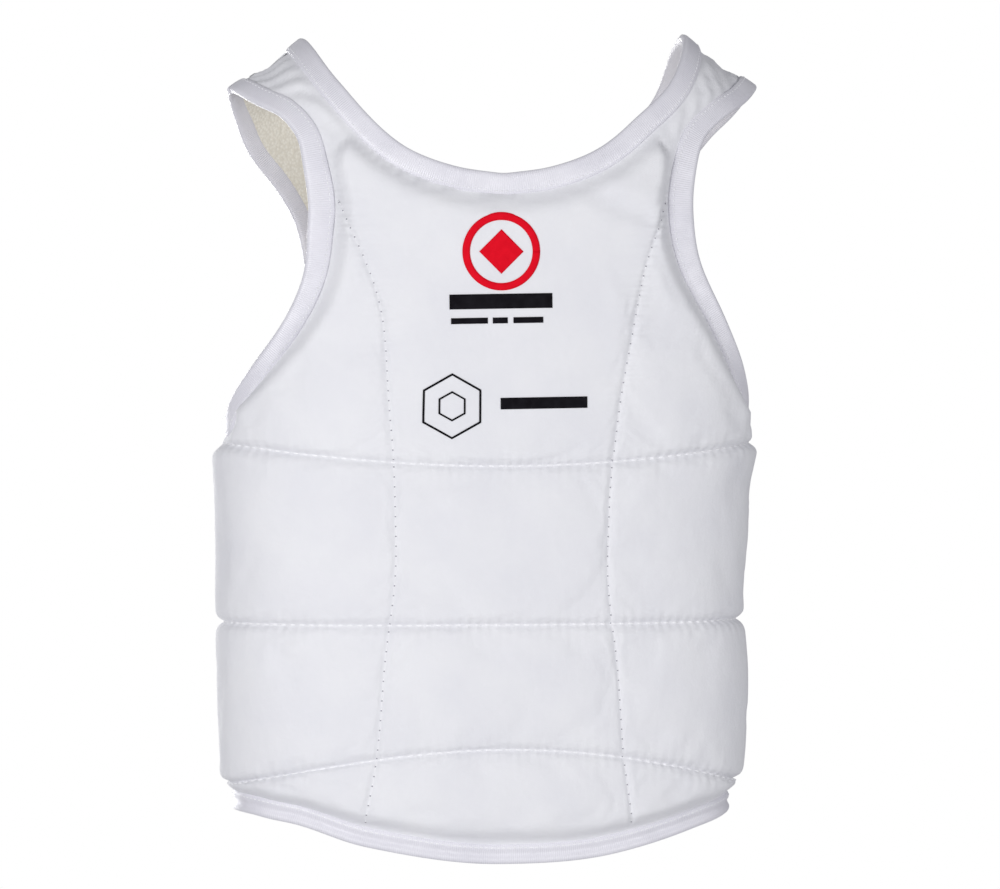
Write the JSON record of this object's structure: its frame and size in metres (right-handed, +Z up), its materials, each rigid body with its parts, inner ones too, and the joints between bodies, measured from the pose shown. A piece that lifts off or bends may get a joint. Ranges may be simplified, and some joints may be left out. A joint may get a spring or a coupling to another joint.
{
  "type": "chest protector",
  "caption": "Sleeveless padded chest protector for karate sparring, with a quilted foam front, back wings, shoulder flaps and elastic back bands that open on hook-and-loop tape.",
  "frame": {"origin": "the wearer's torso axis at the height of the lowest point of the hem; the shell's inside is centred on it front to back", "axes": "+Z up the wearer's body; the quilted front faces -Y and the back closure faces +Y; +X is the wearer's left, which a viewer of the front sees on the right"},
  "size_m": [0.3336, 0.1703, 0.5149],
  "materials": {
    "cover": "satin",
    "lining": "matte",
    "foam": "matte",
    "tape": "satin",
    "elastic": "matte",
    "hook": "matte",
    "loop": "matte"
  },
  "bodies": {
    "vest": {"front_cover": "cover", "front_lining": "lining", "chest_pad_left": "foam", "chest_pad_centre": "foam", "chest_pad_right": "foam", "rib_pad_left": "foam", "rib_pad_centre": "foam", "rib_pad_right": "foam", "belly_pad_left": "foam", "belly_pad_centre": "foam", "belly_pad_right": "foam", "hem_pad_left": "foam", "hem_pad_centre": "foam", "hem_pad_right": "foam", "neck_binding": "tape", "hem_binding": "tape", "left_strap_foam": "foam", "left_armhole_binding": "tape", "left_wing_edge_binding": "tape", "left_wing_cover": "cover", "left_wing_foam": "foam", "left_wing_lining": "lining", "left_flap_loop_patch": "loop", "right_strap_foam": "foam", "right_armhole_binding": "tape", "right_wing_edge_binding": "tape", "right_wing_cover": "cover", "right_wing_foam": "foam", "right_wing_lining": "lining", "right_flap_loop_patch": "loop", "upper_band_loop_patch": "loop", "lower_band_loop_patch": "loop"},
    "left_flap": {"left_flap_cover": "cover", "left_flap_foam": "foam", "left_flap_lining": "lining", "left_flap_binding": "tape", "left_flap_hook_patch": "hook"},
    "right_flap": {"right_flap_cover": "cover", "right_flap_foam": "foam", "right_flap_lining": "lining", "right_flap_binding": "tape", "right_flap_hook_patch": "hook"},
    "upper_band": {"upper_band_elastic": "elastic", "upper_band_hook_patch": "hook"},
    "lower_band": {"lower_band_elastic": "elastic", "lower_band_hook_patch": "hook"}
  },
  "joints": [
    {"name": "left_flap_lift", "type": "hinge", "parent": "vest", "child": "left_flap", "pos_m": [0.1425, 0, 0.4999], "axis": [0.8, 0, -0.6], "range_deg": [0, 95]},
    {"name": "right_flap_lift", "type": "hinge", "parent": "vest", "child": "right_flap", "pos_m": [-0.1425, 0, 0.4999], "axis": [0.8, 0, 0.6], "range_deg": [0, 95]},
    {"name": "upper_band_open", "type": "hinge", "parent": "vest", "child": "upper_band", "pos_m": [-0.0396, 0.0716, 0.2], "axis": [0, 0, 1], "range_deg": [0, 120]},
    {"name": "lower_band_open", "type": "hinge", "parent": "vest", "child": "lower_band", "pos_m": [-0.0396, 0.0689, 0.11], "axis": [0, 0, 1], "range_deg": [0, 120]}
  ]
}
